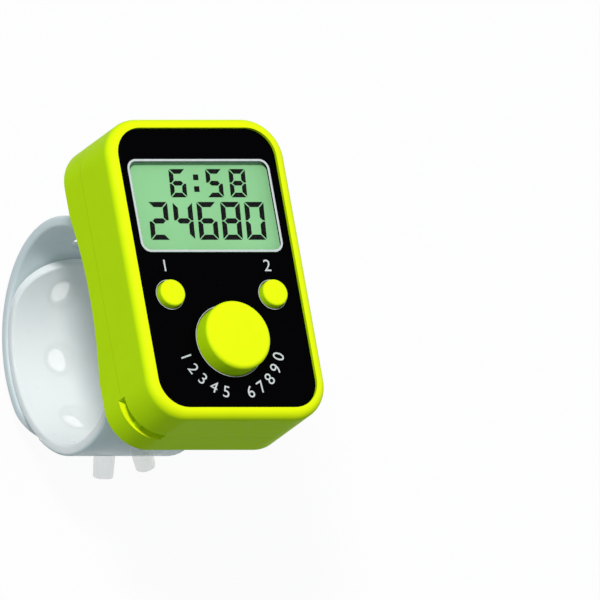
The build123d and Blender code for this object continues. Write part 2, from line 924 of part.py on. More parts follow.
parts = {
    "front_shell": make_front_shell(),
    "back_cover": make_back_cover(),
    "faceplate": make_faceplate(),
    "display_window": make_display_window(),
    "display_front_glass": make_front_glass(),
    "display_rear_glass": make_rear_glass(),
    "display_reflector": make_reflector(),
    "display_frame": make_display_frame(),
    "zebra_strip": make_zebra_strip(),
    "circuit_board": make_circuit_board(),
    "chip": make_chip(),
    "clock_crystal": make_crystal(),
    "capacitors": make_capacitors(),
    "count_button": make_button("count", count_rise, count_wall, count_edge, small_radius),
    "left_button": make_solid_button("left", small_rise, small_edge, small_stem_radius),
    "right_button": make_solid_button("right", small_rise, small_edge, small_stem_radius),
    "count_dome": make_dome("count", dome_inset),
    "left_dome": make_dome("left", 0),
    "right_dome": make_dome("right", 0),
    "button_cell": make_button_cell(),
    "negative_contact": make_negative_contact(),
    "positive_contact": make_positive_contact(),
    "battery_door": make_battery_door(),
    "case_screws": make_case_screws(),
    "board_screws": make_board_screws(),
    "door_screw": make_door_screw(),
    "upper_strap": make_upper_strap(),
    "lower_strap": make_lower_strap(),
}

os.makedirs("parts", exist_ok=True)
for name, solid in parts.items():
    export_step(solid, f"parts/{name}.step")
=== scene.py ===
import math

import bmesh
import bpy
from mathutils import Matrix, Vector


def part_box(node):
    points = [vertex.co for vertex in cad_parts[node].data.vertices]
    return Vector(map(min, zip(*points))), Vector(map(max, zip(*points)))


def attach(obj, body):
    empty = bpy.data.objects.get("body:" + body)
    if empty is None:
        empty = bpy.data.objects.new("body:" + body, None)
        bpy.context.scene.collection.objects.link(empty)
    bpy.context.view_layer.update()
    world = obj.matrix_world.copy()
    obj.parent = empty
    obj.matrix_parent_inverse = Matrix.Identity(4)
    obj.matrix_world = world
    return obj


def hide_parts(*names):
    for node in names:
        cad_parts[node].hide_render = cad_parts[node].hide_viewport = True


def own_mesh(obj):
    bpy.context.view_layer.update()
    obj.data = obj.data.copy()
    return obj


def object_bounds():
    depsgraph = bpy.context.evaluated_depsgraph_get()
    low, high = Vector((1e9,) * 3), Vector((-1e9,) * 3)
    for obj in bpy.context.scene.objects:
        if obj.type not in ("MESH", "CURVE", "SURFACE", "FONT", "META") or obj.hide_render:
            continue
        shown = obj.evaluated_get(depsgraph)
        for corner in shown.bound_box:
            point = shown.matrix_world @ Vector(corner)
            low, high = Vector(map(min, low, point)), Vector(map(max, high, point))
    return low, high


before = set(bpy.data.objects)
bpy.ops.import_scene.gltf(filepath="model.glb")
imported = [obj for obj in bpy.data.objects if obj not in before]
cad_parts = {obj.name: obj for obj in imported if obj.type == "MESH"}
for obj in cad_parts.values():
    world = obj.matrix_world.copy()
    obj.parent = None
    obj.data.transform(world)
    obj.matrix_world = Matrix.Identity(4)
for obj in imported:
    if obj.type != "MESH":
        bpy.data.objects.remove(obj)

# Looks of the finger-worn tally counter. Lengths here are in millimetres unless a name says
# otherwise, and MM turns them into the frame's metres. Depths are measured from the front
# of the faceplate, and places on the casing from its middle.
MM = 0.001
cad_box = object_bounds()

# Casing, faceplate and window
CASE_Y = -0.86
FRONT_Z = 29.56
SEAM_DEPTH = 7.7
SEAM_WIDTH = 0.12
WINDOW_WIDTH = 21.9
WINDOW_HEIGHT = 13.2
WINDOW_CORNER = 1.4
WINDOW_Y = 8.97
GLASS_DEPTH = 0.9
BOARD_DEPTH = 4.6
COUNT_PLACE = (0, -10.44)
SMALL_PLACES = [(-7.93, -3.78), (7.93, -3.78)]
COUNT_RADIUS = 4.9
SMALL_RADIUS = 1.9

# Ring of two straps, with angles about the ring's axis from +Y towards +Z
RING_RADIUS = 16.35
STRAP_WIDTH = 16.0
STRAP_THICKNESS = 1.5
STRAP_GAP = 0.05
STRAP_EDGE = 0.4
STRAP_STEP = 0.6
SPIRAL_START = 170.0
SPIRAL_TURN = 90.0
UPPER_TIP_ANGLE = -136.0
LAP_START_ANGLE = 224.0
LOWER_TIP_ANGLE = 337.0
LAP_RADIUS = RING_RADIUS - STRAP_THICKNESS - STRAP_GAP
PEG_RADIUS = 1.5
PEG_TIP_RADIUS = 1.37
PEG_LENGTH = 3.5
PEG_ROUND = 0.4
PEG_MARGIN = 0.05
PEG_COUNT = 5
FIRST_PEG_ANGLE = 173.0
PEG_PITCH_ANGLE = 35.1
FIRST_ENGAGED_PEG = 2
HOLE_RADIUS = 1.6
HOLE_RIM_RADIUS = HOLE_RADIUS + 1.5 * STRAP_EDGE
# Painted shade round the engaged holes: how far from a hole it reaches, and how far past the lap it holds
# and fades
HOLE_SHADE_RADIUS = 2.5
SHADE_REACH = 0.3
SHADE_FADE = 0.1
ROOT_GAP = 0.3
ROOT_REACH = 4.4
ROOT_TAPER = 2.4
ROOT_WIDTH = 13.0
WAIST_DEPTH = 11.4
ROOT_SEAT = 0.05
HOLLOW_DIP = 1.45
HOLLOW_LENGTH = 23.0

# Soft domes under the buttons
DOME_HEIGHT = 1.5
COUNT_DOME_RADIUS = 4.55
SMALL_DOME_RADIUS = 1.9

# Sides of the round pieces, and steps of their rounded edges
BUTTON_SIDES = 96
DOME_SIDES = 48
SCREW_SIDES = 40
PEG_SIDES = 40
HOLE_SIDES = 40
RIM_SIDES = 72
EDGE_STEPS = 8
PEG_STEPS = 5
TIP_STEPS = 32
SHARP_ANGLE = 32
BLUNT_ANGLE = 40

# Inputs and outputs of a colour mix node
MIX_FACTOR = 0
MIX_FIRST = 6
MIX_SECOND = 7
MIX_RESULT = 2


def on_case(x, y, depth):
    """A place on the casing, in the frame's metres."""
    return Vector((x, y + CASE_Y, FRONT_Z - depth)) * MM


def peg_angle(index):
    """The angle of a peg about the ring's axis, counted from the casing."""
    return FIRST_PEG_ANGLE + index * PEG_PITCH_ANGLE


# Materials
def new_material(name):
    """A node material with its nodes, links and main shader."""
    material = bpy.data.materials.new(name)
    material.use_nodes = True
    tree = material.node_tree
    return material, tree.nodes, tree.links, tree.nodes["Principled BSDF"]


def noise(nodes, links, scale, detail=3.0):
    """A noise pattern fixed to the object, with its scale in turns per millimetre."""
    place = nodes.new("ShaderNodeTexCoord")
    pattern = nodes.new("ShaderNodeTexNoise")
    pattern.inputs["Scale"].default_value = scale / MM
    pattern.inputs["Detail"].default_value = detail
    links.new(place.outputs["Object"], pattern.inputs["Vector"])
    return pattern.outputs["Fac"]


def spread(nodes, links, value, low, high, start=0.3, end=0.7):
    """A value's range from start to end, stretched over low to high."""
    scale = nodes.new("ShaderNodeMapRange")
    scale.inputs["From Min"].default_value = start
    scale.inputs["From Max"].default_value = end
    scale.inputs["To Min"].default_value = low
    scale.inputs["To Max"].default_value = high
    links.new(value, scale.inputs["Value"])
    return scale.outputs["Result"]


def math_node(nodes, links, operation, first, second=None):
    """A sum on one or two numbers, each a constant or another node's output."""
    step = nodes.new("ShaderNodeMath")
    step.operation = operation
    for socket, value in zip(step.inputs, (first, second)):
        if isinstance(value, float):
            socket.default_value = value
        elif value is not None:
            links.new(value, socket)
    return step.outputs[0]


def vector_node(nodes, links, operation, first, second=None):
    """A sum on one vector, or on one and a constant."""
    step = nodes.new("ShaderNodeVectorMath")
    step.operation = operation
    links.new(first, step.inputs[0])
    if second is not None:
        step.inputs[1].default_value = second
    return step.outputs["Value" if operation == "LENGTH" else "Vector"]


def blend_colours(nodes, links, factor, first, second):
    """A colour between two others, each a colour or another node's output."""
    mix = nodes.new("ShaderNodeMix")
    mix.data_type = "RGBA"
    links.new(factor, mix.inputs[MIX_FACTOR])
    for index, colour in ((MIX_FIRST, first), (MIX_SECOND, second)):
        if isinstance(colour, tuple):
            mix.inputs[index].default_value = (*colour, 1)
        else:
            links.new(colour, mix.inputs[index])
    return mix.outputs[MIX_RESULT]


def add_bump(nodes, links, shader, value, height_mm, strength=1.0):
    """A fine relief on the shader, from a pattern and its height."""
    bump = nodes.new("ShaderNodeBump")
    bump.inputs["Distance"].default_value = height_mm * MM
    bump.inputs["Strength"].default_value = strength
    links.new(value, bump.inputs["Height"])
    links.new(bump.outputs["Normal"], shader.inputs["Normal"])


def shade(colour, factor):
    """A colour made darker or lighter."""
    return tuple(min(channel * factor, 1) for channel in colour)


def surface(name, colour, roughness, speckle=0.05, grain=1.5, metallic=0.0, specular=0.5):
    """A plain moulded, printed or plated surface with slight mottling and relief."""
    material, nodes, links, shader = new_material(name)
    pattern = noise(nodes, links, grain)
    mottle = spread(nodes, links, pattern, 0, 1)
    tint = blend_colours(nodes, links, mottle, shade(colour, 1 - speckle), shade(colour, 1 + speckle))
    links.new(tint, shader.inputs["Base Color"])
    gloss = spread(nodes, links, pattern, roughness * 0.85, roughness * 1.15)
    links.new(gloss, shader.inputs["Roughness"])
    shader.inputs["Metallic"].default_value = metallic
    shader.inputs["Specular IOR Level"].default_value = specular
    add_bump(nodes, links, shader, noise(nodes, links, grain * 5), 0.002)
    return material


def lime_plastic(name):
    """Satin lime plastic with a moulded grain and a darker seam; the front is yellower, and painted shade
    makes the faces that turn away from the front a darker, greener lime.
    """
    front = (0.88, 0.985, 0.006)
    # Painted shade: the darker, greener lime of the faces that turn away from the front
    side = (0.57, 0.88, 0.004)
    material, nodes, links, shader = new_material(name)
    place = nodes.new("ShaderNodeTexCoord")
    split = nodes.new("ShaderNodeSeparateXYZ")
    links.new(place.outputs["Normal"], split.inputs["Vector"])
    # Painted shade, which grows as a face turns away from the front
    painted_side_shade = spread(nodes, links, split.outputs["Z"], 0, 1, 0.1, 0.95)
    tint = blend_colours(nodes, links, painted_side_shade, side, front)
    mottle = spread(nodes, links, noise(nodes, links, 0.25), 0, 0.05)
    tint = blend_colours(nodes, links, mottle, tint, shade(side, 0.55))
    where = nodes.new("ShaderNodeSeparateXYZ")
    links.new(place.outputs["Object"], where.inputs["Vector"])
    from_seam = math_node(nodes, links, "SUBTRACT", where.outputs["Z"], (FRONT_Z - SEAM_DEPTH) * MM)
    distance = math_node(nodes, links, "ABSOLUTE", from_seam)
    seam = spread(nodes, links, distance, 0.22, 0, 0, SEAM_WIDTH * MM)
    tint = blend_colours(nodes, links, seam, tint, shade(side, 0.35))
    links.new(tint, shader.inputs["Base Color"])
    gloss = spread(nodes, links, noise(nodes, links, 0.8), 0.38, 0.5)
    links.new(gloss, shader.inputs["Roughness"])
    shader.inputs["Specular IOR Level"].default_value = 0.02
    add_bump(nodes, links, shader, noise(nodes, links, 7.0, 2.0), 0.004, 0.6)
    return material


def gloss_black():
    """The faceplate's gloss black print, with faint dust."""
    material, nodes, links, shader = new_material("gloss_black_print")
    dust = spread(nodes, links, noise(nodes, links, 3.5, 6.0), 0, 1, 0.68, 0.8)
    tint = blend_colours(nodes, links, dust, (0.0006, 0.0006, 0.001), (0.006, 0.006, 0.008))
    links.new(tint, shader.inputs["Base Color"])
    gloss = spread(nodes, links, noise(nodes, links, 0.3), 0.16, 0.26)
    links.new(gloss, shader.inputs["Roughness"])
    shader.inputs["Specular IOR Level"].default_value = 0.01
    return material


def clear_pane():
    """The window's clear plastic."""
    material, nodes, links, shader = new_material("clear_pane")
    tint = blend_colours(nodes, links, noise(nodes, links, 0.4), (0.3, 0.33, 0.32), (0.36, 0.38, 0.37))
    links.new(tint, shader.inputs["Base Color"])
    shader.inputs["Roughness"].default_value = 0.08
    shader.inputs["Alpha"].default_value = 0.012
    return material


def display_green():
    """The display's grey-green field, with a faint cloudy tone."""
    material, nodes, links, shader = new_material("display_green")
    cloud = spread(nodes, links, noise(nodes, links, 0.09, 2.0), 0, 1)
    tint = blend_colours(nodes, links, cloud, (0.275, 0.6, 0.27), (0.31, 0.65, 0.31))
    links.new(tint, shader.inputs["Base Color"])
    gloss = spread(nodes, links, noise(nodes, links, 0.8), 0.3, 0.42)
    links.new(gloss, shader.inputs["Roughness"])
    shader.inputs["Specular IOR Level"].default_value = 0.2
    return material


def painted_hole_shade(nodes, links):
    """Painted shade round the engaged holes: one beside them, on the side of the outer strap that lies on
    the inner one.
    """
    place = nodes.new("ShaderNodeTexCoord").outputs["Object"]
    section = vector_node(nodes, links, "MULTIPLY", place, (0.0, 1.0, 1.0))
    from_axis = vector_node(nodes, links, "LENGTH", section)
    inside = (LAP_RADIUS + SHADE_REACH) * MM
    outside = (LAP_RADIUS + SHADE_REACH + SHADE_FADE) * MM
    shade_there = spread(nodes, links, from_axis, 1, 0, inside, outside)
    total = 0.0
    for index in range(FIRST_ENGAGED_PEG, PEG_COUNT):
        turn = math.radians(peg_angle(index))
        middle = (0.0, LAP_RADIUS * math.cos(turn) * MM, LAP_RADIUS * math.sin(turn) * MM)
        away = vector_node(nodes, links, "SUBTRACT", place, middle)
        distance = vector_node(nodes, links, "LENGTH", away)
        near = spread(nodes, links, distance, 1, 0, HOLE_RIM_RADIUS * MM, HOLE_SHADE_RADIUS * MM)
        total = math_node(nodes, links, "ADD", near, total)
    return math_node(nodes, links, "MULTIPLY", total, shade_there)


def strap_plastic(name, first, second, opacity, with_painted_shade=False):
    """Cloudy soft plastic with a satin skin, through which the shapes behind it show faintly, with painted
    shade round the engaged holes where asked.
    """
    material, nodes, links, shader = new_material(name)
    cloud = spread(nodes, links, noise(nodes, links, 0.12, 4.0), 0, 1)
    tint = blend_colours(nodes, links, cloud, first, second)
    if with_painted_shade:
        # Painted shade: dark blue-grey round the engaged holes, as a shadow of the holes and pegs behind
        tint = blend_colours(nodes, links, painted_hole_shade(nodes, links), tint, (0.06, 0.08, 0.09))
    links.new(tint, shader.inputs["Base Color"])
    gloss = spread(nodes, links, noise(nodes, links, 0.6), 0.26, 0.4)
    links.new(gloss, shader.inputs["Roughness"])
    shader.inputs["Subsurface Weight"].default_value = 0.1
    shader.inputs["Subsurface Radius"].default_value = (1.0, 1.0, 1.0)
    shader.inputs["Subsurface Scale"].default_value = 1.6 * MM
    shader.inputs["Specular IOR Level"].default_value = 0.45
    shader.inputs["IOR"].default_value = 1.3
    shader.inputs["Alpha"].default_value = opacity
    add_bump(nodes, links, shader, noise(nodes, links, 0.9, 2.0), 0.01, 0.5)
    return material


LIME = lime_plastic("lime_plastic")
BLACK = gloss_black()
CLEAR = clear_pane()
GREEN = display_green()
WHITES = ((0.97, 0.985, 0.99), (0.99, 0.995, 1.0))
# Painted shade: a darker, bluer copy of the white strap plastic, for the outer strap and the lower strap's
# outer skin short of the lap, with painted shade round the engaged holes
SHADED_STRAP = strap_plastic("shaded_strap_plastic", (0.73, 0.83, 0.87), (0.8, 0.88, 0.91), 0.85, with_painted_shade=True)
INNER_STRAP = strap_plastic("inner_strap_plastic", *WHITES, 0.74)
PEGS = strap_plastic("peg_plastic", *WHITES, 0.25)
LAP_SKIN = strap_plastic("lap_skin_plastic", *WHITES, 0.12)
# Painted shade: a grey copy of the strap plastic for the walls and rims of the engaged holes
SHADED_HOLE_WALLS = strap_plastic("shaded_hole_wall_plastic", (0.4, 0.47, 0.5), (0.44, 0.51, 0.54), 0.9)
INK_DARK = surface("display_ink", (0.0012, 0.0016, 0.0012), 0.4, specular=0.02)
INK_PALE = surface("pale_print", (0.62, 0.63, 0.64), 0.45, specular=0.2)
# Painted highlight: a pale grey for the rings round the button holes
RIM_HIGHLIGHT_PAINT = surface("painted_rim_highlight", (0.5, 0.5, 0.5), 0.35, specular=0.3)
STEEL = surface("plated_steel", (0.62, 0.62, 0.6), 0.28, grain=2.0, metallic=1.0)
SILVER = surface("bright_can", (0.72, 0.72, 0.7), 0.2, grain=1.0, metallic=1.0)
SPRING = surface("nickel_strip", (0.66, 0.63, 0.55), 0.3, grain=2.5, metallic=1.0)
BOARD = surface("solder_mask", (0.02, 0.16, 0.05), 0.35, speckle=0.12, grain=0.6)
RESIN = surface("black_resin", (0.008, 0.008, 0.008), 0.18, speckle=0.3)
CERAMIC = surface("ceramic_body", (0.35, 0.24, 0.13), 0.5, speckle=0.1)
FRAME_WHITE = surface("natural_plastic", (0.78, 0.78, 0.74), 0.5)
FILM = surface("dull_film", (0.42, 0.62, 0.42), 0.45, metallic=0.6)
STRIPED_RUBBER = surface("contact_rubber", (0.1, 0.1, 0.11), 0.6, speckle=0.4, grain=6.0)
DOME_RUBBER = surface("dome_rubber", (0.5, 0.52, 0.56), 0.55)

NODE_MATERIALS = {
    "front_shell": LIME,
    "back_cover": LIME,
    "battery_door": LIME,
    "count_button": LIME,
    "left_button": LIME,
    "right_button": LIME,
    "faceplate": BLACK,
    "display_window": CLEAR,
    "display_front_glass": GREEN,
    "display_rear_glass": GREEN,
    "display_reflector": FILM,
    "display_frame": FRAME_WHITE,
    "zebra_strip": STRIPED_RUBBER,
    "circuit_board": BOARD,
    "chip": RESIN,
    "clock_crystal": SILVER,
    "capacitors": CERAMIC,
    "count_dome": DOME_RUBBER,
    "left_dome": DOME_RUBBER,
    "right_dome": DOME_RUBBER,
    "button_cell": SILVER,
    "negative_contact": SPRING,
    "positive_contact": SPRING,
    "case_screws": STEEL,
    "board_screws": STEEL,
    "door_screw": STEEL,
    "upper_strap": SHADED_STRAP,
    "lower_strap": INNER_STRAP,
}
for node, material in NODE_MATERIALS.items():
    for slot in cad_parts[node].material_slots:
        slot.material = material


# Mesh helpers
def make_object(name, mesh, material, body="casing"):
    """A piece from a mesh in metres, which rides on a body."""
    piece = bpy.data.objects.new(name, mesh)
    bpy.context.scene.collection.objects.link(piece)
    mesh.materials.clear()
    mesh.materials.append(material)
    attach(piece, body)
    return piece


def smooth_by_angle(mesh, limit_degrees=SHARP_ANGLE):
    """Smooth shading, but for the edges that bend more than a limit."""
    work = bmesh.new()
    work.from_mesh(mesh)
    bmesh.ops.recalc_face_normals(work, faces=work.faces)
    limit = math.radians(limit_degrees)
    for face in work.faces:
        face.smooth = True
    for edge in work.edges:
        edge.smooth = len(edge.link_faces) == 2 and edge.calc_face_angle(0) < limit
    work.to_mesh(mesh)
    work.free()
    return mesh


def mesh_from(work, name):
    """A finished mesh from a bmesh in metres."""
    mesh = bpy.data.meshes.new(name)
    work.to_mesh(mesh)
    work.free()
    return smooth_by_angle(mesh)


def closed_mesh(work, name):
    """A mesh from a bmesh of closed solids, with its faces turned outwards."""
    bmesh.ops.recalc_face_normals(work, faces=work.faces)
    mesh = bpy.data.meshes.new(name)
    work.to_mesh(mesh)
    work.free()
    return mesh


def add_prism(work, outline, low, high):
    """A closed block over an outline of x and y, between two heights, in metres."""
    bottom = [work.verts.new((x, y, low)) for x, y in outline]
    top = [work.verts.new((x, y, high)) for x, y in outline]
    work.faces.new(list(reversed(bottom)))
    work.faces.new(top)
    for i in range(len(outline)):
        j = (i + 1) % len(outline)
        work.faces.new((bottom[i], bottom[j], top[j], top[i]))


def add_lathe(work, profile, place, segments):
    """A turned solid from radius and height points, closed at the axis where it starts and ends."""
    rings = []
    for radius, height in profile:
        if radius == 0:
            rings.append([work.verts.new(place @ Vector((0, 0, height)))])
            continue
        ring = []
        for i in range(segments):
            turn = 2 * math.pi * i / segments
            point = Vector((radius * math.cos(turn), radius * math.sin(turn), height))
            ring.append(work.verts.new(place @ point))
        rings.append(ring)
    for low, high in zip(rings, rings[1:]):
        for i in range(segments):
            j = (i + 1) % segments
            corners = [low[i % len(low)], low[j % len(low)], high[j % len(high)], high[i % len(high)]]
            unique = list(dict.fromkeys(corners))
            if len(unique) > 2:
                work.faces.new(unique)


def rounded_outline(width, length, corner, steps=EDGE_STEPS):
    """Points of a rounded rectangle about its middle, anticlockwise."""
    points = []
    for quarter, (side_x, side_y) in enumerate(((1, 1), (-1, 1), (-1, -1), (1, -1))):
        centre_x = side_x * (width / 2 - corner)
        centre_y = side_y * (length / 2 - corner)
        for i in range(steps + 1):
            turn = math.radians(90 * (quarter + i / steps))
            points.append((centre_x + corner * math.cos(turn), centre_y + corner * math.sin(turn)))
    return points


def add_bead(work, loops):
    """A closed band through loops of points, the last joined to the first."""
    rings = [[work.verts.new(point) for point in loop] for loop in loops]
    count = len(rings[0])
    for k in range(len(rings)):
        first = rings[k]
        second = rings[(k + 1) % len(rings)]
        for i in range(count):
            j = (i + 1) % count
            work.faces.new((first[i], first[j], second[j], second[i]))


def combine(mesh, other, operation):
    """The exact union or difference of two closed meshes."""
    scene = bpy.context.scene
    base = bpy.data.objects.new("work_base", mesh)
    tool = bpy.data.objects.new("work_tool", other)
    for piece in (base, tool):
        scene.collection.objects.link(piece)
    change = base.modifiers.new("change", "BOOLEAN")
    change.operation = operation
    change.solver = "EXACT"
    change.object = tool
    graph = bpy.context.evaluated_depsgraph_get()
    result = bpy.data.meshes.new_from_object(base.evaluated_get(graph))
    for piece in (base, tool):
        bpy.data.objects.remove(piece)
    return result


# Display
DIGIT_SEGMENTS = {"0": "ABCDEF", "2": "ABGED", "4": "FGBC", "5": "AFGCD", "6": "AFGECD", "8": "ABCDEFG"}
SEGMENT_GAP = 0.17
INK_GAP = 0.005
INK_THICKNESS = 0.025
INK_BOTTOM = GLASS_DEPTH - INK_GAP
INK_TOP = INK_BOTTOM - INK_THICKNESS
TIME_DIGITS = {"text": "6:58", "x": -4.6, "y": 10.38, "width": 2.7, "height": 4.2, "stroke": 0.83}
COUNT_DIGITS = {"text": "24680", "x": -8.83, "y": 4.3, "width": 3.15, "height": 5.58, "stroke": 0.9}
TIME_PLACES = [0.0, 3.8, 5.68, 9.28]
COUNT_PLACES = [0.0, 3.83, 7.52, 11.2, 14.9]
DIGIT_SLANT = 0.09
COLON_DOT = 0.8


def segment_outlines(width, height, stroke):
    """The seven segments of a digit, as outlines that meet at mitred ends."""
    half = stroke / 2
    middle = height / 2
    top_left = [(0, height), (0, middle), (half, middle), (stroke, middle + half), (stroke, height - stroke)]
    top = [(0, height), (stroke, height - stroke), (width - stroke, height - stroke), (width, height)]
    bar = [(half, middle), (stroke, middle - half), (width - stroke, middle - half)]
    bar += [(width - half, middle), (width - stroke, middle + half), (stroke, middle + half)]

    def turn_over(points):
        return [(x, height - y) for x, y in reversed(points)]

    def mirror(points):
        return [(width - x, y) for x, y in reversed(points)]

    return {
        "A": top,
        "B": mirror(top_left),
        "C": mirror(turn_over(top_left)),
        "D": turn_over(top),
        "E": turn_over(top_left),
        "F": top_left,
        "G": bar,
    }


def inset(points, distance):
    """A convex outline, anticlockwise, drawn in by a distance on every side."""
    lines = []
    for (x1, y1), (x2, y2) in zip(points, points[1:] + points[:1]):
        length = math.hypot(x2 - x1, y2 - y1)
        normal = (-(y2 - y1) / length, (x2 - x1) / length)
        lines.append((normal, normal[0] * x1 + normal[1] * y1 + distance))
    result = []
    for (n1, c1), (n2, c2) in zip(lines[-1:] + lines[:-1], lines):
        cross = n1[0] * n2[1] - n1[1] * n2[0]
        result.append(((c1 * n2[1] - c2 * n1[1]) / cross, (n1[0] * c2 - n2[0] * c1) / cross))
    return result


def add_ink(work, outline, x, y):
    """One dark patch of the display, slanted as the digits are."""
    points = []
    for px, py in outline:
        place = on_case(x + px + DIGIT_SLANT * py, y + py, 0)
        points.append((place.x, place.y))
    add_prism(work, points, on_case(0, 0, INK_BOTTOM).z, on_case(0, 0, INK_TOP).z)


def add_digits(work, row, places):
    """A row of the display's digits."""
    outlines = segment_outlines(row["width"], row["height"], row["stroke"])
    for text, place in zip(row["text"], places):
        if text == ":":
            for share in (0.3, 0.7):
                low = row["height"] * share - COLON_DOT / 2
                dot = [(0, low), (COLON_DOT, low), (COLON_DOT, low + COLON_DOT), (0, low + COLON_DOT)]
                add_ink(work, dot, row["x"] + place, row["y"])
            continue
        for segment in DIGIT_SEGMENTS[text]:
            add_ink(work, inset(outlines[segment], SEGMENT_GAP / 2), row["x"] + place, row["y"])


def make_display_digits():
    """The display's two rows of digits."""
    work = bmesh.new()
    add_digits(work, TIME_DIGITS, TIME_PLACES)
    add_digits(work, COUNT_DIGITS, COUNT_PLACES)
    make_object("display_digits", mesh_from(work, "display_digits"), INK_DARK)


# Buttons, with the rounded edges that the moulded ones have
FLANGE_FRONT = 2.1
FLANGE_BACK = 2.9
STEM_DEPTH = 3.05
COUNT_SHAPE = {"radius": COUNT_RADIUS, "rise": 2.9, "edge": 0.6, "wall": 1.2, "flange": 0.8, "stem": 1.9}
SMALL_SHAPE = {"radius": SMALL_RADIUS, "rise": 1.1, "edge": 0.35, "wall": 0.9, "flange": 0.6, "stem": 1.0}
CROWN = 0.06


def button_profile(shape):
    """A button's outline of radius and height over the faceplate, from its stem to its crown."""
    radius = shape["radius"]
    rise = shape["rise"]
    edge = shape["edge"]
    stem = shape["stem"]
    inside = radius - shape["wall"]
    profile = [(0, -STEM_DEPTH), (stem, -STEM_DEPTH)]
    if inside > stem:
        ceiling = rise - shape["wall"]
        profile += [(stem, ceiling), (inside, ceiling), (inside, -FLANGE_BACK)]
    else:
        profile += [(stem, -FLANGE_BACK)]
    profile += [(radius + shape["flange"], -FLANGE_BACK), (radius + shape["flange"], -FLANGE_FRONT)]
    profile += [(radius, -FLANGE_FRONT)]
    for i in range(EDGE_STEPS + 1):
        turn = math.radians(90 * i / EDGE_STEPS)
        height = rise - CROWN - edge + edge * math.sin(turn)
        profile.append((radius - edge + edge * math.cos(turn), height))
    return profile + [((radius - edge) / 2, rise - CROWN / 4), (0, rise)]


def make_button(name, node, body, place, shape):
    """A moulded button that replaces its plainer solid."""
    work = bmesh.new()
    middle = Matrix.Translation(on_case(*place, 0)) @ Matrix.Scale(MM, 4)
    add_lathe(work, button_profile(shape), middle, BUTTON_SIDES)
    piece = make_object(name, closed_mesh(work, name), LIME, body)
    smooth_by_angle(piece.data, BLUNT_ANGLE)
    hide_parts(node)


# Soft domes under the buttons
DOME_WALL = 0.35
DOME_PILL = 0.3
DOME_TOP_SHARE = 0.42


def dome_profile(radius):
    """A soft dome's outline of radius and height over the board, from its crown to its pill."""
    top = radius * DOME_TOP_SHARE
    outer = []
    for i in range(EDGE_STEPS + 1):
        share = i / EDGE_STEPS
        sway = (1 - math.cos(math.pi * share)) / 2
        outer.append((top + (radius - top) * share, DOME_HEIGHT * (1 - sway)))
    pill_end = DOME_HEIGHT - DOME_WALL - DOME_PILL
    inner = [(radius - 2 * DOME_WALL, 0), (top - DOME_WALL, pill_end)]
    return [(0, DOME_HEIGHT), *outer, *inner, (0, pill_end)]


def make_dome(name, node, place, radius):
    """A soft dome on the board under a button, which replaces its plainer solid."""
    work = bmesh.new()
    foot = on_case(*place, BOARD_DEPTH)
    add_lathe(work, dome_profile(radius), Matrix.Translation(foot) @ Matrix.Scale(MM, 4), DOME_SIDES)
    piece = make_object(name, closed_mesh(work, name), DOME_RUBBER)
    smooth_by_angle(piece.data, BLUNT_ANGLE)
    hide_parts(node)
    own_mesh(piece)


# Screws with domed heads and cross recesses, which face the finger
HEAD_RADIUS = 1.3
HEAD_HEIGHT = 0.7
HEAD_CURVE = [(0.45, 0.03), (0.75, 0.12), (0.93, 0.28), (1, 0.45)]
SHANK_RADIUS = 0.7
RECESS_LENGTH = 1.5
RECESS_WIDTH = 0.36
RECESS_DEPTH = 0.42


def add_screw(work, recesses, x, y, low, high):
    """One screw, head down, and the cross that is cut in its head, with its places in metres."""
    place = Matrix.Translation((x, y, low)) @ Matrix.Scale(MM, 4)
    length = (high - low) / MM
    profile = [(0, 0)]
    for radius_share, drop in HEAD_CURVE:
        profile.append((HEAD_RADIUS * radius_share, drop))
    profile += [(HEAD_RADIUS, HEAD_HEIGHT), (SHANK_RADIUS, HEAD_HEIGHT)]
    profile += [(SHANK_RADIUS, length - SHANK_RADIUS), (SHANK_RADIUS / 2, length), (0, length)]
    add_lathe(work, profile, place, SCREW_SIDES)
    reach = RECESS_LENGTH / 2 * MM
    half = RECESS_WIDTH / 2 * MM
    outline = []
    for quarter in range(4):
        spin = Matrix.Rotation(math.radians(90 * quarter), 2)
        for corner in ((half, -half), (reach, -half), (reach, half)):
            point = spin @ Vector(corner)
            outline.append((x + point.x, y + point.y))
    add_prism(recesses, outline, low - MM, low + RECESS_DEPTH * MM)


def make_screws(name, node):
    """The screws of a node: one, or two at the ends of the node's box."""
    low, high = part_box(node)
    radius = HEAD_RADIUS * MM
    middle_y = (low.y + high.y) / 2
    places = {round(x, 6) for x in (low.x + radius, high.x - radius)}
    work = bmesh.new()
    recesses = bmesh.new()
    for x in sorted(places):
        add_screw(work, recesses, x, middle_y, low.z, high.z)
    mesh = combine(closed_mesh(work, name), closed_mesh(recesses, "recesses"), "DIFFERENCE")
    piece = make_object(name, smooth_by_angle(mesh, BLUNT_ANGLE), STEEL)
    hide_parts(node)


# Thin bright lines round the window and the buttons, those round the buttons being painted highlights
LINE_WIDTH = 0.27
LINE_HEIGHT = 0.05
LINE_SIDE = 0.03
LINE_SLOPE = 0.07
RIM_WIDTH = 0.1
RIM_HEIGHT = 0.02
RIM_START = 0.14


def make_window_line():
    """The thin pale line that frames the window."""
    section = [(LINE_SIDE, 0.0), (LINE_SIDE, LINE_SIDE), (-LINE_SLOPE, LINE_HEIGHT)]
    section += [(LINE_SLOPE - LINE_WIDTH, LINE_HEIGHT), (-LINE_WIDTH, LINE_SIDE), (-LINE_WIDTH, 0.0)]
    loops = []
    for growth, rise in section:
        size = (WINDOW_WIDTH + 2 * growth, WINDOW_HEIGHT + 2 * growth, WINDOW_CORNER + growth)
        loops.append([on_case(x, y + WINDOW_Y, -rise) for x, y in rounded_outline(*size)])
    work = bmesh.new()
    add_bead(work, loops)
    make_object("window_line", mesh_from(work, "window_line"), INK_PALE)


